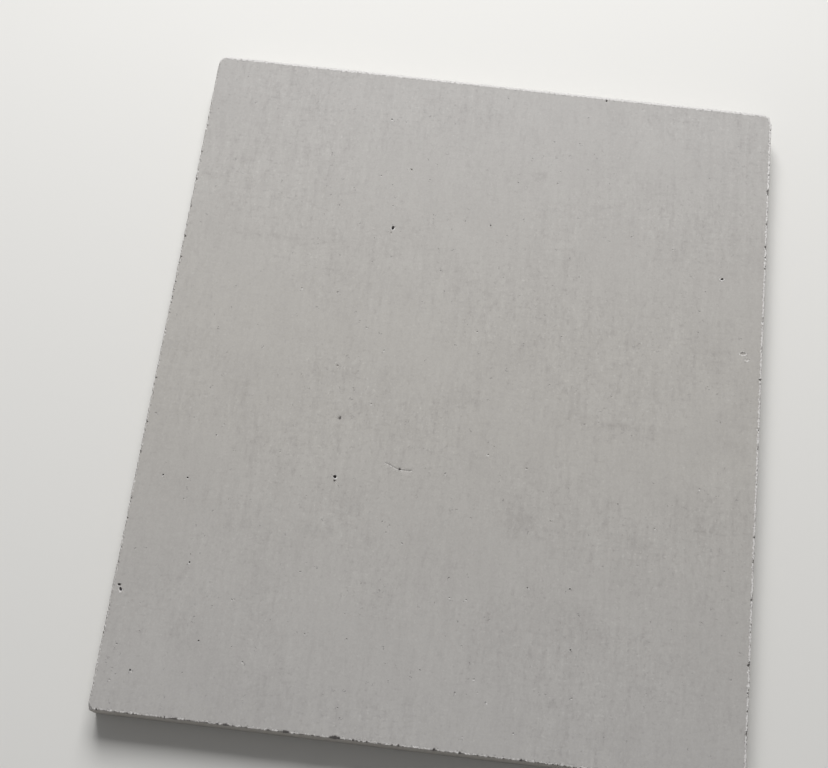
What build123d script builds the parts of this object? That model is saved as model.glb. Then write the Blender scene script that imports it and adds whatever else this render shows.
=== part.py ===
from build123d import *
import os

# A hand sample of magnesium oxide board, sawn from a cast sheet, lying flat with its fair face up.
# Millimetres. x runs across the board, y along it from the near side to the far side, z up.
# The origin is under the middle of the board, on the surface that it lies on.

# Driving sizes
board_width = 150.0
board_length = 175.0
board_thickness = 9.0

# The arrises are rubbed down, the fair face's more than the back's
upper_wear = 0.3
lower_wear = 0.2

# Corners in plan: two were rounded by handling
far_left_round = 2.4
near_right_round = 0.9

# The far right corner is knocked off in two short flats that meet at a knee:
# how far they reach along the far and right sides, and where the knee lies in from each
far_right_along_far = 2.6
far_right_along_right = 3.0
knee_from_far = 0.65
knee_from_right = 0.75

# The near left tip is broken off the fair face in one slanting flat
tip_across = 1.4
tip_along = 1.6
tip_down = 1.9

# The sides run anticlockwise seen from above. A flake lies at a share of its side's length,
# so that it stays on the side, and has its own length along the arris and its own bite into it.
# (share of the side, length, bite)
near_flakes = [
    (0.133, 2.0, 0.42),
    (0.183, 1.2, 0.36),
    (0.213, 1.8, 0.44),
    (0.243, 1.0, 0.36),
    (0.277, 1.2, 0.36),
    (0.303, 2.6, 0.50),
    (0.379, 2.8, 0.66),
    (0.477, 1.0, 0.36),
    (0.530, 1.6, 0.44),
    (0.570, 1.4, 0.42),
    (0.613, 1.0, 0.36),
    (0.663, 1.6, 0.44),
]
right_flakes = [
    (0.069, 1.4, 0.52),
    (0.120, 0.9, 0.45),
    (0.158, 1.8, 0.64),
    (0.246, 1.2, 0.46),
    (0.298, 1.0, 0.52),
    (0.331, 0.8, 0.42),
    (0.460, 1.2, 0.42),
    (0.562, 0.9, 0.60),
    (0.738, 0.8, 0.42),
    (0.773, 1.6, 0.56),
    (0.812, 0.9, 0.46),
    (0.865, 1.6, 0.62),
]
far_flakes = [
    (0.147, 0.9, 0.38),
    (0.400, 1.1, 0.38),
    (0.915, 1.0, 0.38),
]
left_flakes = [
    (0.087, 0.9, 0.42),
    (0.171, 0.9, 0.46),
    (0.217, 1.1, 0.52),
    (0.263, 1.3, 0.50),
    (0.313, 1.3, 0.58),
    (0.347, 0.9, 0.58),
    (0.538, 0.9, 0.52),
    (0.561, 1.0, 0.52),
    (0.603, 0.9, 0.46),
    (0.648, 1.0, 0.52),
    (0.715, 0.9, 0.42),
    (0.804, 1.1, 0.46),
    (0.901, 0.9, 0.42),
]

# Slope of a flake's floor, in degrees. Over 45 it runs further down the side than over the face
flake_slope = 52.0

# Air bubbles that opened in the fair face: share across from the left, share along from the near side,
# width of the mouth and depth
face_pits = [
    (0.355, 0.738, 0.9, 0.50),
    (0.353, 0.729, 0.5, 0.20),
    (0.320, 0.349, 0.9, 0.50),
    (0.320, 0.343, 0.5, 0.25),
    (0.926, 0.714, 0.7, 0.40),
    (0.314, 0.434, 0.6, 0.35),
    (0.967, 0.600, 1.0, 0.30),
    (0.974, 0.591, 0.6, 0.20),
    (0.010, 0.166, 0.6, 0.40),
    (0.014, 0.160, 0.8, 0.40),
    (0.703, 0.993, 0.6, 0.30),
    (0.373, 0.838, 0.4, 0.20),
    (0.296, 0.512, 0.5, 0.25),
    (0.422, 0.370, 0.5, 0.25),
]

# Each side of the board: its start corner, its direction from x in degrees, and its length
half_width = board_width / 2
half_length = board_length / 2
sides = {
    "near": (-half_width, -half_length, 0.0, board_width),
    "right": (half_width, -half_length, 90.0, board_length),
    "far": (half_width, half_length, 180.0, board_width),
    "left": (-half_width, half_length, 270.0, board_length),
}


def board_plan():
    """Outline of the board seen from above, with its rounded and its knocked corners."""
    plan = Rectangle(board_width, board_length)
    far_corners = plan.vertices().group_by(Axis.Y)[-1].sort_by(Axis.X)
    near_corners = plan.vertices().group_by(Axis.Y)[0].sort_by(Axis.X)
    plan = fillet(far_corners[0], far_left_round)
    plan = fillet(plan.vertices().sort_by_distance(near_corners[1])[0], near_right_round)
    knocked_off = Polygon(
        (half_width, half_length),
        (half_width - far_right_along_far, half_length),
        (half_width - knee_from_right, half_length - knee_from_far),
        (half_width, half_length - far_right_along_right),
        align=None,
    )
    return plan - knocked_off


def worn_slab():
    """The cast sheet sawn to the plan, its arrises rubbed down all round."""
    slab = extrude(board_plan(), board_thickness)
    slab = chamfer(slab.faces().sort_by(Axis.Z)[-1].edges(), upper_wear)
    return chamfer(slab.faces().sort_by(Axis.Z)[0].edges(), lower_wear)


def broken_tip():
    """Plane of the break across the near left corner, its normal pointing at the waste."""
    corner = Vector(-half_width, -half_length, board_thickness)
    on_near_arris = corner + Vector(tip_across, 0, 0)
    on_left_arris = corner + Vector(0, tip_along, 0)
    on_upright = corner - Vector(0, 0, tip_down)
    outward = (on_near_arris - on_upright).cross(on_left_arris - on_upright)
    return Plane(origin=on_upright, x_dir=on_near_arris - on_left_arris, z_dir=outward)


def arc_radius(chord, rise):
    """Radius of the arc that spans this chord with this rise."""
    return (chord**2 / 4 + rise**2) / (2 * rise)


def flake(length, bite):
    """Scalloped flake: x runs along the arris, y into the board, and the arris is at the origin."""
    radius = arc_radius(length, bite)
    scallop = Pos(0, 0, radius - bite) * Rotation(90, 0, 0) * Cylinder(radius, 2 * length)
    return Rotation(flake_slope, 0, 0) * scallop


def pit(mouth, depth):
    """Open air bubble, its mouth at the origin."""
    radius = arc_radius(mouth, depth)
    return Pos(0, 0, radius - depth) * Sphere(radius)


def side_flakes(side, flakes):
    """The flakes of one side, each at its share of the upper arris."""
    start_x, start_y, heading, length = sides[side]
    arris = Location((start_x, start_y, board_thickness), (0, 0, heading))
    return [arris * Pos(share * length, 0, 0) * flake(along, bite) for share, along, bite in flakes]


def pits():
    """The open bubbles of the fair face."""
    corner = Pos(-half_width, -half_length, board_thickness)
    return [
        corner * Pos(across * board_width, along * board_length, 0) * pit(mouth, depth)
        for across, along, mouth, depth in face_pits
    ]


def make_board():
    """The whole board: the worn slab less its broken tip, its flakes and its pits."""
    slab = split(worn_slab(), bisect_by=broken_tip(), keep=Keep.BOTTOM)
    knocks = side_flakes("near", near_flakes) + side_flakes("right", right_flakes)
    knocks += side_flakes("far", far_flakes) + side_flakes("left", left_flakes)
    return slab - knocks - pits()


board = make_board()
os.makedirs("parts", exist_ok=True)
export_step(board, "parts/board.step")
size = [round(extent, 3) for extent in board.bounding_box().size]
print("board", size, "mm,", round(board.volume / 1000, 2), "cm3")
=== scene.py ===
import bmesh
import bpy
from math import cos, pi, radians, sin
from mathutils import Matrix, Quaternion, Vector, kdtree, noise
from random import Random


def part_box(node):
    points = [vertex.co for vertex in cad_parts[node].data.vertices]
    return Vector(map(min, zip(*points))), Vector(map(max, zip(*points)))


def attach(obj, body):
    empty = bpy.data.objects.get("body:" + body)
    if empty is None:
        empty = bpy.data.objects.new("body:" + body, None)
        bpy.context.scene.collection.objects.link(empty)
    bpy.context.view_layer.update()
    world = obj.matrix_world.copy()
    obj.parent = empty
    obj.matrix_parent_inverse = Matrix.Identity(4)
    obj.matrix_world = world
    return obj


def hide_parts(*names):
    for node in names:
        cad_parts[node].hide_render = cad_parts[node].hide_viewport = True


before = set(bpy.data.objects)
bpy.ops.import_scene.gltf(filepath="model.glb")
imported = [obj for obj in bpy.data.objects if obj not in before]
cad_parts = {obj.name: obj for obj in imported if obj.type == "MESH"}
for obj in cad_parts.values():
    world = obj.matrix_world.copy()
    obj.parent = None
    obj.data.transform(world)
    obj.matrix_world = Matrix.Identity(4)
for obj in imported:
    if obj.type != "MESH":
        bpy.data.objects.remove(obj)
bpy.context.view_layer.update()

# A hand sample of magnesium oxide board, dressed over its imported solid.
# Blender works in metres here. What a user would change is written in millimetres, times mm.
mm = 0.001
low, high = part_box("board")
top = high[2]
halfWidth = (high[0] - low[0]) / 2
halfLength = (high[1] - low[1]) / 2
middle = Vector(((high[0] + low[0]) / 2, (high[1] + low[1]) / 2, 0))

# The corners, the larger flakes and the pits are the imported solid's own.
sheet = {
    "farLeftRound": (2.4, 8),  # radius and segments
    "nearRightRound": (0.9, 5),
    "farRightFlats": ((-2.6, 0.0), (-0.75, -0.65), (0.0, -3.0)),  # from where the corner was
    "nearLeftTip": (1.4, 1.6, 1.9),  # broken off: across, along and down
    "lowerWear": 0.2,
    "sag": 0.05,  # unevenness of the cast face
    "sawRoughness": 0.06,
    "gridStep": 1.2,  # spacing of the lines ruled over the face
    "arrisRows": (0.13, 0.27, 0.43, 0.62, 0.85, 1.20, 1.70),  # lines ruled beside an arris
    "sideRows": (2.4, 3.6, 5.2, 7.0),  # lines ruled round the sides, down from the face
    "flakeSlope": 52,
    "crumbSlope": 70,  # crumbs run further down the side than flakes
    "crumbLength": (0.35, 0.95),
    "crumbStray": 0.8,  # how far crumbs stray from the threads
    "dustAndHighlightBites": (0.40, 0.15),  # depth at which a bite has lost its dust and painted highlight, and up to which it keeps all of it
    "darkBites": (0.20, 0.40),  # depth from which a bite gets painted shade, and at which the painted shade is full
    "meshAcross": 3.33,  # spacing of the glass-fibre threads that run along the board
    "meshAlong": 2.74,  # spacing of the threads that run across it
    "meshTurn": 1.8,  # degrees that the mesh lies askew in the sheet
    # An arris is worn evenly by its first size and unevenly by its second. Small crumbs broke out where it
    # meets the threads, and its flakes are given as share of the side, length and bite. Dust, from none at 0
    # to a full coat at 1, whitens a rim this wide, and chalk is the share of it that the deepest flakes keep.
    # The whitening is partly real dust and partly a painted highlight, stronger on the far and right arrises.
    # Their shade is painted shade in the chips, from bare cement at 0 to a dark hole at 1.
    "arrises": {
        "near": {
            "rubbed": 0.13, "ragged": 0.28, "crumbs": 150, "crumbBite": (0.18, 0.38),
            "rim": 0.55, "dustAndHighlight": 0.55, "chalk": 0.0, "shade": 0.55,
            "flakes": [
                (0.133, 2.0, 0.42), (0.183, 1.2, 0.36), (0.213, 1.8, 0.44), (0.243, 1.0, 0.36),
                (0.277, 1.2, 0.36), (0.303, 2.6, 0.50), (0.379, 2.8, 0.66), (0.477, 1.0, 0.36),
                (0.530, 1.6, 0.44), (0.570, 1.4, 0.42), (0.613, 1.0, 0.36), (0.663, 1.6, 0.44),
            ],
        },
        "right": {
            "rubbed": 0.13, "ragged": 0.22, "crumbs": 120, "crumbBite": (0.18, 0.38),
            "rim": 0.60, "dustAndHighlight": 0.74, "chalk": 0.3, "shade": 0.45,
            "flakes": [
                (0.069, 1.4, 0.52), (0.120, 0.9, 0.45), (0.158, 1.8, 0.64), (0.246, 1.2, 0.46),
                (0.298, 1.0, 0.52), (0.331, 0.8, 0.42), (0.460, 1.2, 0.42), (0.562, 0.9, 0.60),
                (0.738, 0.8, 0.42), (0.773, 1.6, 0.56), (0.812, 0.9, 0.46), (0.865, 1.6, 0.62),
            ],
        },
        "far": {
            "rubbed": 0.18, "ragged": 0.12, "crumbs": 20, "crumbBite": (0.14, 0.26),
            "rim": 0.85, "dustAndHighlight": 0.9, "chalk": 0.5, "shade": 0.40,
            "flakes": [(0.147, 0.9, 0.38), (0.400, 1.1, 0.38), (0.915, 1.0, 0.38)],
        },
        "left": {
            "rubbed": 0.13, "ragged": 0.30, "crumbs": 170, "crumbBite": (0.24, 0.48),
            "rim": 0.50, "dustAndHighlight": 0.52, "chalk": 0.55, "shade": 0.35,
            "flakes": [
                (0.087, 0.9, 0.42), (0.171, 0.9, 0.46), (0.217, 1.1, 0.52), (0.263, 1.3, 0.50),
                (0.313, 1.3, 0.58), (0.347, 0.9, 0.58), (0.538, 0.9, 0.52), (0.561, 1.0, 0.52),
                (0.603, 0.9, 0.46), (0.648, 1.0, 0.52), (0.715, 0.9, 0.42), (0.804, 1.1, 0.46),
                (0.901, 0.9, 0.42),
            ],
        },
        "turn": {
            "rubbed": 0.18, "ragged": 0.16, "crumbs": 0,
            "rim": 0.60, "dustAndHighlight": 0.85, "chalk": 0.5, "shade": 0.40,
            "flakes": [],
        },
    },
    # Air bubbles that opened in the face: share across, share along, mouth across and along, turn, depth
    "pits": [
        (0.355, 0.738, 0.72, 1.05, -8, 0.90), (0.353, 0.729, 0.45, 0.45, 0, 0.20),
        (0.320, 0.349, 0.92, 0.78, -25, 0.90), (0.320, 0.343, 0.42, 0.52, 0, 0.40),
        (0.926, 0.714, 0.80, 0.58, 12, 0.60), (0.314, 0.434, 0.50, 0.50, 0, 0.50),
        (0.967, 0.600, 1.40, 0.80, 4, 0.22), (0.974, 0.591, 0.80, 0.50, 25, 0.08),
        (0.010, 0.166, 0.62, 0.58, 10, 0.70), (0.014, 0.160, 0.62, 0.92, 20, 0.60),
        (0.703, 0.993, 0.55, 0.60, 0, 0.45), (0.373, 0.838, 0.40, 0.40, 0, 0.30),
        (0.296, 0.512, 0.46, 0.46, 0, 0.25), (0.422, 0.370, 0.50, 0.42, 0, 0.45),
    ],
    # Smaller bubbles, in millimetres from the middle. The faint ones are strewn at random, in gatherings.
    # A shade runs from a light dimple at 0 to a deep hole darkened with painted shade at 1, and lip is a
    # painted highlight on the near side of the mouth.
    "pinholes": {
        "deep": {"widths": (0.42, 0.50), "shades": (0.35, 0.60), "lip": 0.6, "spots": [
            (-62.2, -30.6), (-68.3, -30.7), (3.4, 45.4), (33.2, -61.3), (-67.2, -77.7), (-58.0, -51.3),
            (31.9, -47.4), (-52.7, -69.3), (-26.3, 73.6),
        ]},
        "clear": {"widths": (0.36, 0.46), "shades": (0.0, 0.12), "lip": 0.6, "spots": [
            (-62.9, 74.0), (26.0, 80.4), (19.3, 59.5), (-26.5, 56.3), (39.7, 46.3), (50.7, 44.2),
            (59.9, 33.2), (-42.5, 21.9), (-33.6, 22.1), (24.3, 16.5), (3.1, 15.3), (-24.7, 13.1),
            (-19.4, 7.6), (-49.4, 4.9), (65.3, -1.4), (-20.8, -6.6), (-55.8, -16.2), (9.6, -16.3),
            (19.1, -18.9), (61.1, -19.1), (-57.2, -19.6), (-0.6, -22.5), (41.6, -25.2), (50.7, -30.2),
            (25.9, -31.3), (-62.2, -36.2), (-13.1, -38.9), (-8.8, -40.9), (21.7, -48.0), (-71.3, -49.5),
            (-31.8, -50.5), (7.9, -52.3), (3.9, -52.4), (34.7, -53.4), (-46.6, -59.0), (70.8, -64.2),
            (-28.5, -64.9), (-18.6, -64.9), (11.9, -70.6), (-71.1, -72.2), (34.4, -72.6), (-41.7, -72.8),
            (7.7, -73.9), (14.9, -75.5), (-71.1, -80.4), (-18.5, -80.6), (21.8, -81.6),
        ]},
        "soft": {"widths": (0.26, 0.36), "shades": (0.0, 0.05), "lip": 0.35, "spots": [
            (-40.0, 74.3), (-24.6, 73.4), (24.2, 72.6), (47.0, 72.3), (21.9, 68.2), (12.3, 66.5),
            (58.9, 66.0), (69.1, 65.7), (20.0, 63.3), (-40.4, 61.5), (-40.3, 57.7), (-13.9, 56.8),
            (-33.4, 52.1), (-40.7, 51.5), (12.0, 48.0), (-22.7, 47.9), (-69.3, 47.6), (-11.9, 46.5),
            (-36.4, 46.3), (-3.6, 46.2), (-30.2, 41.7), (20.5, 40.4), (24.6, 38.9), (-26.1, 38.0),
            (-5.4, 37.3), (-9.4, 37.0), (27.4, 33.4), (41.5, 33.3), (-25.8, 31.4), (8.3, 31.0),
            (-8.3, 30.9), (58.6, 27.7), (19.6, 22.2), (58.7, 22.0), (-11.9, 21.8), (69.6, 21.4),
            (-0.8, 18.0), (-37.8, 17.3), (42.7, 16.1), (-26.7, 15.0), (-42.8, 14.6), (15.0, 13.5),
            (64.1, 12.5), (-21.3, 11.9), (-4.7, 11.7), (-2.2, 11.2), (-72.9, 10.9), (-51.9, 10.3),
            (49.1, 9.8), (3.7, 9.6), (-61.7, 8.9), (61.4, 7.5), (11.5, 6.4), (63.7, 5.8), (-28.3, 5.1),
            (22.8, 3.0), (38.0, 2.0), (-25.8, -3.2), (-29.1, -3.6), (-58.6, -4.0), (-26.3, -6.0),
            (-60.2, -6.9), (43.8, -7.6), (-39.8, -9.6), (-11.9, -10.2), (4.4, -11.3), (73.1, -11.8),
            (66.8, -13.3), (10.6, -14.3), (-73.3, -15.6), (65.0, -20.5), (70.0, -20.9), (-40.9, -21.8),
            (14.3, -27.1), (-7.2, -28.8), (1.6, -31.5), (-33.1, -32.1), (6.7, -32.7), (-62.0, -33.4),
            (64.6, -33.7), (-51.6, -34.9), (-14.3, -36.2), (-12.2, -36.9), (-28.7, -37.4), (-8.4, -38.0),
            (-54.7, -38.3), (68.0, -38.8), (47.4, -39.6), (-58.1, -42.6), (-55.3, -44.6), (7.5, -46.4),
            (3.5, -47.8), (-30.7, -48.2), (-28.7, -48.8), (63.2, -51.4), (-16.9, -51.6), (-12.7, -52.6),
            (72.4, -57.4), (-19.9, -59.1), (-67.6, -62.3), (8.2, -63.0), (51.5, -64.4), (-55.1, -65.3),
            (-9.9, -65.6), (10.3, -67.0), (-66.6, -69.0), (-39.6, -69.1), (51.6, -69.2), (-44.6, -69.8),
            (-1.2, -69.9), (-3.0, -71.7), (28.5, -72.1), (-7.8, -73.3), (12.8, -73.6), (-72.1, -75.5),
            (-17.9, -76.5), (-55.1, -76.9), (-71.2, -77.6), (-48.8, -81.6), (-17.9, -82.8), (10.6, -83.5),
            (-58.2, -85.0), (-70.6, -85.3),
        ]},
        "faint": {"widths": (0.18, 0.30), "shades": (0.0, 0.03), "lip": 0.1, "spots": []},
    },
    "faintPinholes": 800,  # cells tried, of which those in a gathering are opened
    "gathering": 12,  # size of the gatherings
    "pinholeSeed": 11,
    # A scratch runs through one pit: its points in millimetres from there, its width and its depth
    "scratch": {
        "pit": (0.422, 0.370), "width": 0.40, "depth": 0.12,
        "points": ((-3.5, 1.15), (-2.2, 0.65), (-0.8, 0.05), (0.4, -0.2), (2.9, -0.1)),
    },
    # Smudges and faint creases, in millimetres from the middle: across, along, width, length, turn, strength
    "smudges": [
        (14.8, 61.0, 2.2, 2.2, 30, 0.42), (17.5, -32.5, 6.5, 9.0, 0, 0.22),
        (-21.7, -30.0, 5.0, 7.0, 0, 0.11), (-30.8, -40.8, 6.5, 2.0, -8, 0.17),
        (-15.0, -40.0, 2.5, 3.0, 0, 0.12), (-35.0, -45.8, 8.0, 6.0, 0, 0.08),
        (41.7, 16.7, 4.5, 4.5, 0, 0.14), (65.8, 24.2, 3.5, 4.0, 0, 0.16), (63.3, 14.2, 4.0, 8.0, 0, 0.12),
        (60.0, -25.8, 14.0, 12.0, 0, 0.12), (31.7, -30.8, 6.0, 6.0, 0, 0.10),
        (-30.8, 0.8, 12.0, 5.0, -3, 0.12), (-17.5, 0.8, 7.0, 5.0, 0, 0.12),
        (2.5, -3.3, 8.0, 5.0, 0, 0.16), (15.8, 11.7, 6.0, 8.0, 0, 0.12),
        (42.5, -5.3, 28.0, 1.4, -3, 0.19), (65.8, -7.5, 14.0, 4.0, -3, 0.12),
        (-50.0, 35.0, 26.0, 1.6, 0, 0.15), (-37.5, 37.5, 5.0, 4.0, 0, 0.10),
        (8.3, -12.5, 2.0, 10.0, 0, 0.12), (-65.8, -32.5, 8.0, 8.0, 0, 0.08),
        (-53.3, -2.5, 5.0, 9.0, 0, 0.07), (33.3, -55.8, 7.0, 7.0, 0, 0.12),
        (15.8, -62.5, 10.0, 16.0, 0, 0.10), (-56.7, -67.5, 8.0, 8.0, 0, 0.12),
        (63.3, -54.2, 12.0, 16.0, 0, 0.08), (-41.7, -54.2, 12.0, 10.0, 0, 0.08),
    ],
    "skinLight": "#bab8b5",
    "skinDark": "#a09d9b",
    "skinTone": 0.55,  # where the plain skin lies, from dark at 0 to light at 1
    "middleTint": "#fffefb",  # the sheet is a little warmer across its middle than at its ends
    "sawnCement": "#b3afaa",
    # white of the dust, also used for painted highlights on rims, lips and the broken tip
    "dustAndHighlight": "#d6d4d2",
    # dark colour of the painted shade in pinholes, pits, chips and the far side of the scratch
    "paintedShade": "#3d3a42",
    "roughness": 0.95,
    "sheen": 0.12,  # chalky, so it shines much less than smooth cement
    "reliefDepth": 0.03,
    # Clouds that shift the skin's tone: seed, size of the patches across and along the threads, detail, the
    # noise at which a cloud starts and is full, its value at the start, and its strength. They are the linen
    # of the mesh and then the mottle of the cement. The last stands for the cement's grain, which is too fine
    # to show and is drawn as coarse as it needs to be.
    "linen": [
        (4, 3.4, 6.5, 1, 0.42, 0.58, -1, 0.030),
        (5, 1.2, 12.0, 1, 0.30, 0.70, -1, 0.050),
        (6, 0.95, 2.4, 2, 0.54, 0.72, 0, -0.20),
        (7, 2.1, 0.90, 2, 0.56, 0.74, 0, -0.17),
        (8, 0.90, 2.0, 2, 0.52, 0.70, 0, 0.13),
        (9, 0.80, 0.80, 2, 0.61, 0.74, 0, -0.32),
        (14, 0.80, 0.80, 1, 0.64, 0.76, 0, 0.25),
    ],
    "mottle": [
        (10, 34, 30, 2, 0.30, 0.70, -1, 0.04),
        (11, 11, 12, 1, 0.30, 0.70, -1, 0.04),
        (12, 0.42, 0.42, 2, 0.30, 0.70, -1, 0.09),
    ],
    # The threads: the axis they are spaced along, their spacing, the cloud that breaks them up, the noise at
    # which it starts to show them and shows them fully, and their strength
    "threads": [
        ("X", "meshAcross", (2, 2.4, 5.0), (0.40, 0.62), -0.10),
        ("Y", "meshAlong", (3, 5.0, 2.4), (0.42, 0.64), -0.06),
    ],
}

studio = {
    "floor": "#dcdbd8",
    "floorRoughness": 0.9,
    "floorReach": 1500,  # from the middle to each side
    "backdrop": "#e4e3e0",
    "backdropFade": (130, 320),  # the floor fades into it from here to there
    "sky": "#ffffff",
    "skyStrength": 0.21,
    "lampPower": 6.0,
    "lampPlace": (-60, 480, 560),
    "lampSize": 420,
    "cameraPlace": (6.87, -114.21, 324.30),
    "cameraAim": (-1.58, 0.64, 9.0),
    "cameraRoll": 2.546,
    "cameraShift": -0.0460,  # the photo's middle is a little off the lens axis
    "lens": 58.78,
}


def hexColour(code):
    channels = [int(code[i:i + 2], 16) / 255 for i in (1, 3, 5)]
    linear = [c / 12.92 if c <= 0.04045 else ((c + 0.055) / 1.055) ** 2.4 for c in channels]
    return (*linear, 1.0)


def wander(x, y, z=0.0):
    return noise.noise(Vector((x, y, z)))


def ramp(value, start, end):
    # 0 up to the start and 1 from the end on
    return min(1, max(0, (value - start) / (end - start)))


# The plan's outline

def bend(x, y, radius, start, steps):
    angles = [radians(start + 90 * i / steps) for i in range(steps + 1)]
    return [(x + radius * cos(a), y + radius * sin(a)) for a in angles]


def tracePlan():
    # stretches of the outline in millimetres from the middle, anticlockwise from the near left corner
    w, l = halfWidth / mm, halfLength / mm
    (near, nearSteps), (far, farSteps) = sheet["nearRightRound"], sheet["farLeftRound"]
    points = [(-w, -l)]
    points += bend(w - near, near - l, near, -90, nearSteps)
    points += [(w + x, l + y) for x, y in reversed(sheet["farRightFlats"])]
    points += bend(far - w, l - far, far, 90, farSteps)
    names = ["near", *["turn"] * nearSteps, "right", "turn", "turn", "far", *["turn"] * farSteps, "left"]
    corners = {"near": (-w, -l), "right": (w, -l), "far": (w, l), "left": (-w, l)}
    stretches = []
    place = 0.0
    for name, a, b in zip(names, points, points[1:] + points[:1]):
        a, b = Vector(a), Vector(b)
        heading = (b - a).normalized()
        corner = Vector(corners.get(name, a))
        stretches.append({
            "name": name, "start": a, "heading": heading, "inward": Vector((-heading.y, heading.x)),
            "length": (b - a).length, "place": place, "cornerPlace": place - (a - corner).length,
        })
        place += (b - a).length
    return stretches


plan = tracePlan()
tableStep = 0.05  # along the outline, between the places where its wear is worked out


def nearestStretch(co):
    # how far in from the outline a point lies, its place along the outline, and that stretch
    point = Vector((co.x - middle.x, co.y - middle.y)) / mm
    depths = [(point - stretch["start"]).dot(stretch["inward"]) for stretch in plan]
    inward = min(depths)
    stretch = plan[depths.index(inward)]
    along = (point - stretch["start"]).dot(stretch["heading"])
    return inward, stretch["place"] + min(max(along, 0.0), stretch["length"]), stretch


def isInland(co):
    # too far from every side to need the search above
    return max(abs(co.x - middle.x) - halfWidth, abs(co.y - middle.y) - halfLength) < -4 * mm


def tabulateWear():
    # depth of the worn and flaked arris at each step round the outline and then of its crumbs, each with
    # its slope
    worn, crumbed = [], []
    for stretch in plan:
        arris = sheet["arrises"][stretch["name"]]
        while len(worn) * tableStep < stretch["place"] + stretch["length"]:
            s = len(worn) * tableStep
            # it wavers over about a millimetre, and more strongly over a third of one
            uneven = 0.6 * wander(s / 0.9, 3.0) + 0.9 * wander(s / 0.31, 8.0)
            worn.append(max(0.05, arris["rubbed"] + arris["ragged"] * uneven))
            crumbed.append(0.0)
    for stretch in plan:
        arris = sheet["arrises"][stretch["name"]]
        alongY = abs(stretch["heading"].y) > 0.9
        sideLength = 2 * (halfLength if alongY else halfWidth) / mm
        pitch = sheet["meshAlong"] if alongY else sheet["meshAcross"]
        rng = Random(stretch["name"])
        breaks = [(worn, share * sideLength, length, bite) for share, length, bite in arris["flakes"]]
        for number in range(arris["crumbs"]):
            place = rng.randrange(1, int(sideLength / pitch)) * pitch + rng.gauss(0, sheet["crumbStray"])
            length = rng.uniform(*sheet["crumbLength"])
            breaks.append((crumbed, place, length, rng.uniform(*arris["crumbBite"])))
        for table, place, length, bite in breaks:
            centre = stretch["cornerPlace"] + place
            first, last = [int((centre + side * length / 2) / tableStep) for side in (-1, 1)]
            for i in range(first, last + 1):
                s = i * tableStep
                off = min(1, abs(s - centre) / (length / 2))
                deep = bite * (1 - off * off) ** 0.5 * (0.85 + 0.7 * wander(s / 0.45, 5.0))
                if 0 <= i < len(table):
                    table[i] = max(table[i], deep)
    return (worn, sheet["flakeSlope"]), (crumbed, sheet["crumbSlope"])


wear = tabulateWear()


def depthAt(table, place):
    i = min(int(place / tableStep), len(table) - 2)
    share = place / tableStep - i
    return table[i] * (1 - share) + table[i + 1] * share


# The slab and the lines ruled on it

def eachOnce(parts):
    # without repeats and in a steady order, which a set hasn't, so that each run gives the same mesh
    return list(dict.fromkeys(parts))


def knockOff(bm, point, outward):
    # cuts the waste off along a flat and closes the cut
    everything = bm.verts[:] + bm.edges[:] + bm.faces[:]
    cut = bmesh.ops.bisect_plane(bm, geom=everything, dist=1e-7, plane_co=point, plane_no=outward,
                                 clear_outer=True)
    rim = [part for part in cut["geom_cut"] if isinstance(part, bmesh.types.BMEdge)]
    bmesh.ops.edgeloop_fill(bm, edges=rim)


def uprightAt(bm, sideX, sideY):
    # the upright edge of one corner
    def isThere(v):
        return (v.co.x - middle.x) * sideX > halfWidth - mm and (v.co.y - middle.y) * sideY > halfLength - mm
    return [e for e in bm.edges if all(isThere(v) for v in e.verts)]


def tipPlane():
    # the slanting flat where the near left tip broke off
    across, along, down = [size * mm for size in sheet["nearLeftTip"]]
    corner = middle + Vector((-halfWidth, -halfLength, top))
    ends = [corner + Vector((across, 0, 0)), corner + Vector((0, along, 0)), corner - Vector((0, 0, down))]
    return ends[2], (ends[0] - ends[2]).cross(ends[1] - ends[2]).normalized()


def sawSlab(bm):
    bmesh.ops.create_cube(bm, size=1)
    bmesh.ops.scale(bm, vec=(2 * halfWidth, 2 * halfLength, top - low[2]), verts=bm.verts)
    bmesh.ops.translate(bm, vec=middle + Vector((0, 0, (top + low[2]) / 2)), verts=bm.verts)
    for name, sideX, sideY in (("farLeftRound", -1, 1), ("nearRightRound", 1, -1)):
        radius, segments = sheet[name]
        bmesh.ops.bevel(bm, geom=uprightAt(bm, sideX, sideY), offset=radius * mm, offset_type="OFFSET",
                        affect="EDGES", segments=segments, profile=0.5, material=-1)
    corner = middle + Vector((halfWidth, halfLength, 0))
    knocks = [corner + Vector((x * mm, y * mm, 0)) for x, y in sheet["farRightFlats"]]
    for a, b in zip(knocks, knocks[1:]):
        knockOff(bm, a, (b - a).cross(Vector((0, 0, -1))))
    knockOff(bm, *tipPlane())
    lowerArris = [e for e in bm.edges if all(v.co.z < low[2] + 0.1 * mm for v in e.verts)]
    bmesh.ops.bevel(bm, geom=lowerArris, offset=sheet["lowerWear"] * mm, offset_type="OFFSET",
                    affect="EDGES", segments=2, profile=0.5, material=-1)


def ruleLines(bm, faces, axis, spots):
    # cuts the faces along planes across one axis, taking only what still lies ahead of the last plane
    normal = Vector([1 if i == axis else 0 for i in range(3)])
    ahead = faces
    for spot in sorted(spots):
        edges = eachOnce(e for f in ahead for e in f.edges)
        verts = eachOnce(v for e in edges for v in e.verts)
        cut = bmesh.ops.bisect_plane(bm, geom=[*verts, *edges, *ahead], dist=0.01 * mm,
                                     plane_co=normal * spot, plane_no=normal)
        ahead = [f for f in cut["geom"] if isinstance(f, bmesh.types.BMFace)
                 and f.calc_center_median()[axis] > spot]


def spotsAcross(half, centre):
    # ruled close beside both arrises and evenly between them
    rows = [row * mm for row in sheet["arrisRows"]]
    reach = half - rows[-1]
    count = round(2 * reach / (sheet["gridStep"] * mm))
    even = [centre - reach + 2 * reach * i / count for i in range(count + 1)]
    beside = [centre + side * (half - row) for row in rows[:-1] for side in (-1, 1)]
    return even + beside


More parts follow.
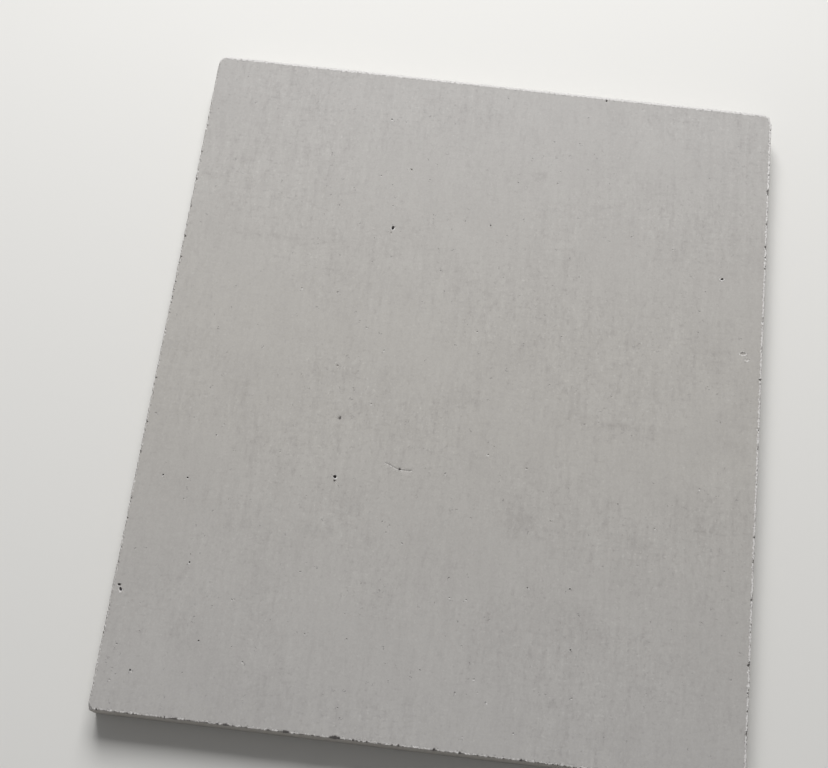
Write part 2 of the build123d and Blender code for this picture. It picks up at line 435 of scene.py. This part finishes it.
def ruleSlab(bm):
    upright = [f for f in bm.faces if abs(f.normal.z) < 0.9]
    downs = [*sheet["arrisRows"], *sheet["sideRows"]]
    ruleLines(bm, upright, 2, [top - down * mm for down in downs])
    for axis, half in ((0, halfWidth), (1, halfLength)):
        ruleLines(bm, [f for f in bm.faces if f.normal.z > -0.99], axis, spotsAcross(half, middle[axis]))


def refineArris(bm):
    # divides what lies beside the upper arris along its length: out to the sixth row, and again to the fourth
    for row in (5, 3):
        band = sheet["arrisRows"][row] + 0.01
        edges = []
        for e in bm.edges:
            a, b = e.verts
            below = top - min(a.co.z, b.co.z) > band * mm
            upright = abs(a.co.z - b.co.z) > 0.05 * mm
            if below or upright or e.calc_length() < 0.2 * mm or isInland((a.co + b.co) / 2):
                continue
            depthA, depthB = nearestStretch(a.co)[0], nearestStretch(b.co)[0]
            if max(depthA, depthB) < band and abs(depthA - depthB) < 0.08:
                edges.append(e)
        bmesh.ops.subdivide_edges(bm, edges=edges, cuts=2, use_single_edge=True)


def spotOf(across, along):
    return middle + Vector(((2 * across - 1) * halfWidth, (2 * along - 1) * halfLength, top))


def refineAbout(bm, spots, cuts):
    # divides the edges that lie wholly within reach of one of the spots
    bm.verts.index_update()
    bm.verts.ensure_lookup_table()
    tree = kdtree.KDTree(len(bm.verts))
    for v in bm.verts:
        tree.insert(v.co, v.index)
    tree.balance()
    near = []
    for centre, reach in spots:
        reached = {i: bm.verts[i] for co, i, distance in tree.find_range(centre, reach * mm)}
        near += [e for v in reached.values() for e in v.link_edges if e.other_vert(v).index in reached]
    near = [e for e in eachOnce(near) if e.calc_length() > 0.12 * mm]
    bmesh.ops.subdivide_edges(bm, edges=near, cuts=cuts, use_grid_fill=True, use_single_edge=True)


def refinePits(bm):
    # once about the broken tip, twice about the scratch and three times about the pits
    def about(places, margin):
        return [(spot, margin + size / 2) for spot, size in places]

    pits = [(spotOf(*pit[:2]), max(pit[2:4])) for pit in sheet["pits"]]
    scratched = [(a.lerp(b, share), 0) for a, b in scratchRuns() for share in (0, 0.5, 1)]
    tip, outward = tipPlane()
    broken = [(tip + Vector((0.6, 0.6, 1.2)) * mm, 0)]
    refineAbout(bm, about(pits, 1.4) + about(scratched, 1.6) + about(broken, 2.0), 2)
    refineAbout(bm, about(pits, 0.3) + about(scratched, 0.6), 2)
    refineAbout(bm, about(pits, 0.1), 1)


def scratchRuns():
    # the straight runs of the scratch
    scratch = sheet["scratch"]
    points = [spotOf(*scratch["pit"]) + Vector((x, y, 0)) * mm for x, y in scratch["points"]]
    return list(zip(points, points[1:]))


# Wear and relief

def choosePinholes(bm, rng):
    # for each kind of pinhole, the ruled cells of the face that it opens and its place in each
    cells = [f for f in bm.faces if len(f.verts) == 4 and f.normal.z > 0.99 and f.calc_area() > mm * mm]
    reach = 0.3  # furthest that a pinhole lies from the middle of its cell, along each side
    tree = kdtree.KDTree(len(cells))
    for i, f in enumerate(cells):
        tree.insert(f.calc_center_median(), i)
    tree.balance()
    chosen = {name: {} for name in sheet["pinholes"]}
    taken = set()
    for name, kind in sheet["pinholes"].items():
        for x, y in kind["spots"]:
            co, i, gap = tree.find(middle + Vector((x * mm, y * mm, top)))
            if cells[i] not in taken:
                aside = [spot * mm - at for spot, at in zip((x, y), co - middle)]
                aside = [min(max(size, -reach * mm), reach * mm) for size in aside]
                chosen[name][cells[i]] = co + Vector((*aside, 0))
                taken.add(cells[i])
    gathering = sheet["gathering"] * mm
    for f in rng.sample(cells, sheet["faintPinholes"]):
        centre = f.calc_center_median()
        crowded = 0.4 + 2.2 * wander(centre.x / gathering, centre.y / gathering)
        if f not in taken and rng.random() < crowded:
            aside = Vector((rng.uniform(-reach, reach), rng.uniform(-reach, reach), 0))
            chosen["faint"][f] = centre + aside * mm
            taken.add(f)
    print("pinholes:", {name: len(places) for name, places in chosen.items()})
    return chosen


def openPinholes(bm, dustAndHighlight, paintedShade):
    # each cell is inset, its inner face rounded and then sunk. A painted highlight lies on the near lip, and
    # painted shade on the floor of the hole
    rng = Random(sheet["pinholeSeed"])
    for name, places in choosePinholes(bm, rng).items():
        kind = sheet["pinholes"][name]
        bmesh.ops.inset_individual(bm, faces=list(places), thickness=0.2 * mm)
        bmesh.ops.bisect_edges(bm, edges=eachOnce(e for f in places for e in f.edges), cuts=1)
        for f, spot in places.items():
            centre = f.calc_center_median()
            radius = rng.uniform(*kind["widths"]) * mm / 2
            for v in f.verts:
                away = (v.co - centre).normalized()
                v.co = spot + away * radius * rng.uniform(0.8, 1.2)
                # painted highlight on the near lip
                v[dustAndHighlight] = kind["lip"] if away.y < -0.3 else 0.1
        sunk = bmesh.ops.extrude_discrete_faces(bm, faces=list(places))
        for f in sunk["faces"]:
            centre = f.calc_center_median()
            width = 2 * max((v.co - centre).length for v in f.verts)
            shade = rng.uniform(*kind["shades"])
            depth = width * (0.25 + 0.7 * shade)
            for v in f.verts:
                v.co = centre + (v.co - centre) * 0.75 - Vector((0, 0, depth))
                # painted shade on the sunk floor
                v[paintedShade] = shade


def unevenFace(bm, smudge):
    # the cast face is not quite flat, and is smudged here and there. A smudge fades out past its size
    for v in bm.verts:
        if top - v.co.z > 0.02 * mm:
            continue
        x, y = (v.co.x - middle.x) / mm, (v.co.y - middle.y) / mm
        sag = 0.8 + 0.6 * wander(x / 38, y / 38, 7) + 0.2 * wander(x / 7, y / 9, 2)
        v.co.z -= sheet["sag"] * mm * max(0, sag) / 1.6
        x, y = x + 1.2 * wander(x / 6, y / 6, 4), y + 0.8 * wander(x / 9, y / 6, 9)
        for centreX, centreY, width, length, turn, strength in sheet["smudges"]:
            dx, dy = x - centreX, y - centreY
            if abs(dx) + abs(dy) > width + length:
                continue
            c, s = cos(radians(turn)), sin(radians(turn))
            off = ((dx * c + dy * s) / (width / 2)) ** 2 + ((dy * c - dx * s) / (length / 2)) ** 2
            v[smudge] += strength * max(0, 1 - off / 2.2)


def roughenSides(bm, bare):
    # the saw leaves the sides slightly rough, and bares the cement
    for v in bm.verts:
        down = top - v.co.z
        inward, place, stretch = nearestStretch(v.co) if down > 0.05 * mm else (1, 0, None)
        if inward > 0.05:
            continue
        v[bare] = 1.0
        if v.co.z > low[2] + 0.3 * mm:
            grit = 0.5 + 0.5 * noise.noise(v.co / (0.9 * mm)) + 0.3 * noise.noise(v.co / (0.4 * mm))
            press = sheet["sawRoughness"] * mm * max(0, grit) * min(1, down / (0.6 * mm))
            v.co += stretch["inward"].to_3d() * press


def wearArris(bm, bare, dustAndHighlight, paintedShade):
    # presses the mesh beside the upper arris back onto its worn and flaked surface, and whitens its rim with
    # dust and a painted highlight. Deep bites lose their dust and highlight and get painted shade
    reach = 2.0
    for v in bm.verts:
        down = (top - v.co.z) / mm
        if down > reach or isInland(v.co):
            continue
        inward, place, stretch = nearestStretch(v.co)
        if inward > reach:
            continue
        start = v.co / mm
        arris = sheet["arrises"][stretch["name"]]
        grit = 0.08 * noise.noise(start / 0.35) + 0.05 * noise.noise(start / 0.16)
        presses = []
        for table, slope in wear:
            bite = depthAt(table, place)
            tilt = radians(slope + 10 * wander(place / 1.4, 6.0))
            press = bite + grit - inward * sin(tilt) - down * cos(tilt) if bite > 0 else 0
            presses.append((press, tilt, bite))
        press, tilt, bite = max(presses)
        if press > 0:
            v.co += (stretch["inward"].to_3d() * sin(tilt) - Vector((0, 0, cos(tilt)))) * press * mm
            v[bare] = 1.0
            # the broken surface keeps some dust and painted highlight, and deep bites get painted shade
            v[dustAndHighlight] = arris["dustAndHighlight"] * max(arris["chalk"], ramp(bite, *sheet["dustAndHighlightBites"]))
            v[paintedShade] = arris["shade"] * ramp(bite, *sheet["darkBites"])
        elif down < 0.1:
            waver = min(0.7, 3 * arris["ragged"])
            rim = arris["rim"] * (1 + waver * wander(place / 0.8, 12.0))
            # the rim whitens with dust and a painted highlight
            v[dustAndHighlight] = max(v[dustAndHighlight], arris["dustAndHighlight"] * ramp(inward, 1.25 * rim, 0.75 * rim))


def gapToRun(co, a, b):
    # from a point to the nearest point of a straight run
    share = (co - a).dot(b - a) / (b - a).length_squared
    return a + (b - a) * min(1, max(0, share)) - co


def scratchFace(bm, dustAndHighlight, paintedShade):
    # a groove with painted shade on its far side and a painted highlight along its near lip
    width, depth = sheet["scratch"]["width"], sheet["scratch"]["depth"]
    runs = scratchRuns()
    centre = spotOf(*sheet["scratch"]["pit"])
    for v in bm.verts:
        if (v.co - centre).length > 5 * mm:
            continue
        gap = min((gapToRun(v.co, a, b) for a, b in runs), key=lambda gap: gap.xy.length)
        share = gap.xy.length / mm / (width / 2)
        if share < 1:
            v.co.z -= depth * mm * (1 - share * share)
        if share < 1.8:
            # painted highlight on the near lip and painted shade on the far side
            v[dustAndHighlight if gap.y > 0 else paintedShade] = (0.8 if gap.y > 0 else 0.12) * (1 - share / 1.8)


def sinkPits(bm, bare, dustAndHighlight, paintedShade):
    # steep-walled hollows with a lobed mouth and a dusty lip, painted lighter on its near side. The deep ones
    # get painted shade
    for across, along, width, length, turn, depth in sheet["pits"]:
        centre = spotOf(across, along)
        c, s = cos(radians(turn)), sin(radians(turn))
        for v in bm.verts:
            out = (v.co - centre) / mm
            if abs(out.x) > 1.2 or abs(out.y) > 1.2 or abs(out.z) > 0.5:
                continue
            lobes = 1 + 0.25 * noise.noise(out.normalized() * 1.4 + centre / mm)
            off = Vector(((out.x * c + out.y * s) / (width / 2), (out.y * c - out.x * s) / (length / 2)))
            share = off.length / lobes
            if share < 1:
                v.co.z -= depth * mm * (1 - share * share) ** 0.4
                # painted shade, strongest in the middle of deep pits
                v[paintedShade] = min(1, 2.2 * (1 - share)) * min(1, depth * depth / 0.3)
                v[bare] = 1.0
            elif (share - 1) * min(width, length) < 0.7:
                # dust on the lip, with a painted highlight making its near side lighter
                lip = (1.2 if out.y < 0 else 0.8) * min(1, max(0, 4 * width * length - 0.6))
                v[dustAndHighlight] = max(v[dustAndHighlight], lip - 1.7 * (share - 1) * min(width, length))


def roughenTip(bm, bare, dustAndHighlight):
    # the break at the near left tip is crumbly, and its facet is whitened with a painted highlight
    tip, outward = tipPlane()
    for v in bm.verts:
        if abs((v.co - tip).dot(outward)) < 0.02 * mm and (v.co - tip).length < 3 * mm:
            grit = 0.6 + noise.noise(v.co / (0.5 * mm)) + 0.5 * noise.noise(v.co / (0.25 * mm))
            v.co -= outward * 0.08 * mm * max(0, grit)
            v[bare] = 1.0
            # painted highlight on the broken facet
            v[dustAndHighlight] = 0.75


def makeBoard():
    bm = bmesh.new()
    sawSlab(bm)
    ruleSlab(bm)
    refineArris(bm)
    refinePits(bm)
    print("slab ruled:", len(bm.faces), "faces")
    names = ("bare", "dustAndHighlight", "paintedShade", "smudge")
    for name in names:
        bm.verts.layers.float.new(name)
    bare, dustAndHighlight, paintedShade, smudge = [bm.verts.layers.float[name] for name in names]
    openPinholes(bm, dustAndHighlight, paintedShade)
    unevenFace(bm, smudge)
    roughenSides(bm, bare)
    wearArris(bm, bare, dustAndHighlight, paintedShade)
    scratchFace(bm, dustAndHighlight, paintedShade)
    sinkPits(bm, bare, dustAndHighlight, paintedShade)
    roughenTip(bm, bare, dustAndHighlight)
    bmesh.ops.recalc_face_normals(bm, faces=bm.faces)
    for f in bm.faces:
        f.smooth = True
    creaseAngle = radians(38)
    for e in bm.edges:
        e.smooth = e.calc_face_angle(0) < creaseAngle
    print("board worn:", sum(len(f.verts) - 2 for f in bm.faces), "triangles")
    mesh = bpy.data.meshes.new("magnesiumOxideBoard")
    bm.to_mesh(mesh)
    bm.free()
    board = bpy.data.objects.new("magnesiumOxideBoard", mesh)
    bpy.context.scene.collection.objects.link(board)
    return board


# Materials

def addNode(tree, kind, inputs=None, **settings):
    # adds a node, sets it, and links or fills its inputs, where another node stands for its first output
    node = tree.nodes.new(kind)
    for name, value in settings.items():
        setattr(node, name, value)
    for socket, value in (inputs or {}).items():
        if isinstance(value, bpy.types.Node):
            value = [output for output in value.outputs if output.enabled][0]
        if isinstance(value, bpy.types.NodeSocket):
            tree.links.new(value, node.inputs[socket])
        else:
            node.inputs[socket].default_value = value
    return node


def cementMaterial():
    # Cast magnesium oxide cement: a matt, chalky, warm grey skin in which the linen of the glass mesh just
    # shows, with whiter dust and painted highlights on the worn rims and lips, painted shade in the holes and
    # chips, and rougher, plain grey cement where it was sawn or broken.
    # The inputs of a Map Range are the value, its range and the new range. A Mix has its colours at 6 and 7.
    material = bpy.data.materials.new("cast magnesium oxide cement")
    material.use_nodes = True
    tree = material.node_tree
    tree.nodes.clear()
    place = addNode(tree, "ShaderNodeTexCoord").outputs["Object"]
    bare, dustAndHighlight, paintedShade, smudge = [
        addNode(tree, "ShaderNodeAttribute", attribute_name=name).outputs["Fac"]
        for name in ("bare", "dustAndHighlight", "paintedShade", "smudge")
    ]
    askew = (0, 0, radians(-sheet["meshTurn"]))

    def cloud(seed, across, along, detail=1):
        # noise whose patches are about this many millimetres across and along the threads
        mapping = addNode(tree, "ShaderNodeMapping", {
            "Vector": place, "Location": (7.3 * seed, 3.1 * seed, 0), "Rotation": askew,
            "Scale": (1 / (across * mm), 1 / (along * mm), 1 / (across * mm)),
        })
        return addNode(tree, "ShaderNodeTexNoise", {"Vector": mapping, "Scale": 1, "Detail": detail})

    def layered(tone, clouds):
        # shifts the tone by each cloud in turn
        for seed, across, along, detail, start, full, least, strength in clouds:
            patches = cloud(seed, across, along, detail)
            layer = addNode(tree, "ShaderNodeMapRange", {0: patches, 1: start, 2: full, 3: least})
            tone = addNode(tree, "ShaderNodeMath", {0: layer, 1: strength, 2: tone}, operation="MULTIPLY_ADD")
        return tone

    linen = layered(0, sheet["linen"])
    for axis, spacing, patches, (start, full), strength in sheet["threads"]:
        mapping = addNode(tree, "ShaderNodeMapping", {"Vector": place, "Rotation": askew})
        # at scale 1 the bands lie pi / 10 apart
        bands = addNode(tree, "ShaderNodeTexWave", {
            "Vector": mapping, "Scale": pi / 10 / (sheet[spacing] * mm),
            "Distortion": 2.2, "Detail": 1, "Detail Scale": 1.5,
        }, bands_direction=axis).outputs["Fac"]
        thread = addNode(tree, "ShaderNodeMapRange", {0: bands, 1: 0.55, 2: 1})
        broken = addNode(tree, "ShaderNodeMapRange", {0: cloud(*patches), 1: start, 2: full})
        thread = addNode(tree, "ShaderNodeMath", {0: thread, 1: broken}, operation="MULTIPLY")
        linen = addNode(tree, "ShaderNodeMath", {0: thread, 1: strength, 2: linen}, operation="MULTIPLY_ADD")
    # the linen is busier in some parts than in others
    busy = addNode(tree, "ShaderNodeMapRange", {0: cloud(1, 26, 22), 1: 0.3, 2: 0.65, 3: 0.45, 4: 1.25})
    tone = addNode(tree, "ShaderNodeMath", {
        0: linen, 1: busy, 2: sheet["skinTone"],
    }, operation="MULTIPLY_ADD")
    tone = layered(tone, sheet["mottle"])
    patchy = addNode(tree, "ShaderNodeMapRange", {0: cloud(13, 1.2, 2.0, 2), 1: 0.35, 2: 0.65, 4: 1.7})
    smudged = addNode(tree, "ShaderNodeMath", {0: smudge, 1: patchy}, operation="MULTIPLY")
    tone = addNode(tree, "ShaderNodeMath", {0: tone, 1: smudged}, operation="SUBTRACT")
    skin = addNode(tree, "ShaderNodeMix", {
        0: tone, 6: hexColour(sheet["skinDark"]), 7: hexColour(sheet["skinLight"]),
    }, data_type="RGBA")
    # warmer across the middle
    along = addNode(tree, "ShaderNodeSeparateXYZ", {"Vector": place}).outputs["Y"]
    off = addNode(tree, "ShaderNodeMath", {0: along, 1: middle.y}, operation="SUBTRACT")
    off = addNode(tree, "ShaderNodeMath", {0: off}, operation="ABSOLUTE")
    warmth = addNode(tree, "ShaderNodeMapRange", {
        0: off, 1: 0.15 * halfLength, 2: 0.95 * halfLength, 3: 1, 4: 0,
    })
    warmSkin = addNode(tree, "ShaderNodeMix", {
        0: 1, 6: skin, 7: hexColour(sheet["middleTint"]),
    }, data_type="RGBA", blend_type="MULTIPLY")
    skin = addNode(tree, "ShaderNodeMix", {0: warmth, 6: skin, 7: warmSkin}, data_type="RGBA")
    # sawn and broken cement
    crumbly = addNode(tree, "ShaderNodeMapRange", {
        0: cloud(15, 0.6, 0.6, 3), 1: 0.3, 2: 0.7, 3: 0.86, 4: 1.08,
    })
    sawn = addNode(tree, "ShaderNodeMix", {
        0: 1, 6: hexColour(sheet["sawnCement"]), 7: crumbly,
    }, data_type="RGBA", blend_type="MULTIPLY")
    colour = addNode(tree, "ShaderNodeMix", {0: bare, 6: skin, 7: sawn}, data_type="RGBA")
    # the dust and painted highlight lie in specks
    rimmed = addNode(tree, "ShaderNodeMapRange", {0: dustAndHighlight, 1: 0, 2: 0.1})
    specks = addNode(tree, "ShaderNodeMath", {
        0: cloud(16, 0.5, 0.5, 2), 1: 1.4, 2: dustAndHighlight,
    }, operation="MULTIPLY_ADD")
    specks = addNode(tree, "ShaderNodeMapRange", {0: specks, 1: 1.1, 2: 1.5})
    specks = addNode(tree, "ShaderNodeMath", {0: specks, 1: rimmed}, operation="MULTIPLY")
    colour = addNode(tree, "ShaderNodeMix", {
        0: specks, 6: colour, 7: hexColour(sheet["dustAndHighlight"]),
    }, data_type="RGBA")
    # dark pocks break up the dusty rims, but for a solid coat. They share the dark colour with the painted
    # shade
    pocks = addNode(tree, "ShaderNodeMapRange", {0: cloud(17, 0.45, 0.45, 2), 1: 0.57, 2: 0.66, 4: 0.4})
    pocks = addNode(tree, "ShaderNodeMath", {0: pocks, 1: rimmed}, operation="MULTIPLY")
    thin = addNode(tree, "ShaderNodeMapRange", {0: dustAndHighlight, 1: 0.85, 2: 1, 3: 1, 4: 0})
    pocks = addNode(tree, "ShaderNodeMath", {0: pocks, 1: thin}, operation="MULTIPLY")
    pocks = addNode(tree, "ShaderNodeMath", {0: paintedShade, 1: pocks}, operation="MAXIMUM")
    colour = addNode(tree, "ShaderNodeMix", {
        0: pocks, 6: colour, 7: hexColour(sheet["paintedShade"]),
    }, data_type="RGBA")
    relief = addNode(tree, "ShaderNodeMath", {0: crumbly, 1: 0.6}, operation="MULTIPLY")
    relief = addNode(tree, "ShaderNodeMath", {0: tone, 1: 0.7, 2: relief}, operation="MULTIPLY_ADD")
    bump = addNode(tree, "ShaderNodeBump", {
        "Height": relief, "Strength": 0.3, "Distance": sheet["reliefDepth"] * mm,
    })
    surface = addNode(tree, "ShaderNodeBsdfPrincipled", {
        "Base Color": colour, "Roughness": sheet["roughness"], "Specular IOR Level": sheet["sheen"],
        "Normal": bump,
    })
    addNode(tree, "ShaderNodeOutputMaterial", {"Surface": surface})
    return material


# Floor, light and camera

def seenRays(tree):
    # 1 for the rays that look at the background, and 0 for those that light the object
    rays = addNode(tree, "ShaderNodeLightPath").outputs
    seen = 0
    for name in ("Is Camera Ray", "Is Glossy Ray", "Is Transmission Ray"):
        seen = addNode(tree, "ShaderNodeMath", {0: rays[name], 1: seen}, operation="ADD", use_clamp=True)
    return seen


def paperMaterial():
    # matt paper that far from the object turns into the even, pale backdrop
    paper = bpy.data.materials.new("matt paper")
    paper.use_nodes = True
    tree = paper.node_tree
    tree.nodes.clear()
    place = addNode(tree, "ShaderNodeTexCoord").outputs["Object"]
    away = addNode(tree, "ShaderNodeVectorMath", {0: place}, operation="LENGTH").outputs["Value"]
    start, end = [distance * mm for distance in studio["backdropFade"]]
    share = addNode(tree, "ShaderNodeMapRange", {0: away, 1: start, 2: end}, interpolation_type="SMOOTHSTEP")
    share = addNode(tree, "ShaderNodeMath", {0: share, 1: seenRays(tree)}, operation="MULTIPLY")
    surface = addNode(tree, "ShaderNodeBsdfPrincipled", {
        "Base Color": hexColour(studio["floor"]), "Roughness": studio["floorRoughness"],
    })
    backdrop = addNode(tree, "ShaderNodeEmission", {"Color": hexColour(studio["backdrop"]), "Strength": 1})
    both = addNode(tree, "ShaderNodeMixShader", {0: share, 1: surface, 2: backdrop})
    addNode(tree, "ShaderNodeOutputMaterial", {"Surface": both})
    return paper


def makeSky():
    world = bpy.data.worlds.new("soft sky")
    world.use_nodes = True
    tree = world.node_tree
    tree.nodes.clear()
    sky = addNode(tree, "ShaderNodeBackground", {
        "Color": hexColour(studio["sky"]), "Strength": studio["skyStrength"],
    })
    backdrop = addNode(tree, "ShaderNodeBackground", {"Color": hexColour(studio["backdrop"]), "Strength": 1})
    both = addNode(tree, "ShaderNodeMixShader", {0: seenRays(tree), 1: sky, 2: backdrop})
    addNode(tree, "ShaderNodeOutputWorld", {"Surface": both})
    return world


def makeStudio():
    bm = bmesh.new()
    bmesh.ops.create_grid(bm, x_segments=1, y_segments=1, size=studio["floorReach"] * mm)
    mesh = bpy.data.meshes.new("floor")
    bm.to_mesh(mesh)
    bm.free()
    floor = bpy.data.objects.new("floor", mesh)
    bpy.context.scene.collection.objects.link(floor)
    mesh.materials.append(paperMaterial())
    bpy.context.scene.world = makeSky()
    light = bpy.data.lights.new("window lamp", "AREA")
    light.energy = studio["lampPower"]
    light.size = studio["lampSize"] * mm
    lamp = bpy.data.objects.new("window lamp", light)
    lamp.location = Vector(studio["lampPlace"]) * mm
    lamp.rotation_euler = (-lamp.location).to_track_quat("-Z", "Y").to_euler()
    bpy.context.scene.collection.objects.link(lamp)
    lens = bpy.data.cameras.new("camera")
    lens.lens = studio["lens"]
    lens.shift_x = studio["cameraShift"]
    camera = bpy.data.objects.new("camera", lens)
    camera.location = Vector(studio["cameraPlace"]) * mm
    aim = (Vector(studio["cameraAim"]) * mm - camera.location).to_track_quat("-Z", "Y")
    camera.rotation_euler = (aim @ Quaternion((0, 0, 1), radians(studio["cameraRoll"]))).to_euler()
    bpy.context.scene.collection.objects.link(camera)
    bpy.context.scene.camera = camera
    bpy.context.scene.view_settings.view_transform = "Standard"


makeStudio()
print("studio set")
board = makeBoard()
board.data.materials.append(cementMaterial())
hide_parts("board")
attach(board, "root")
print("board dressed")
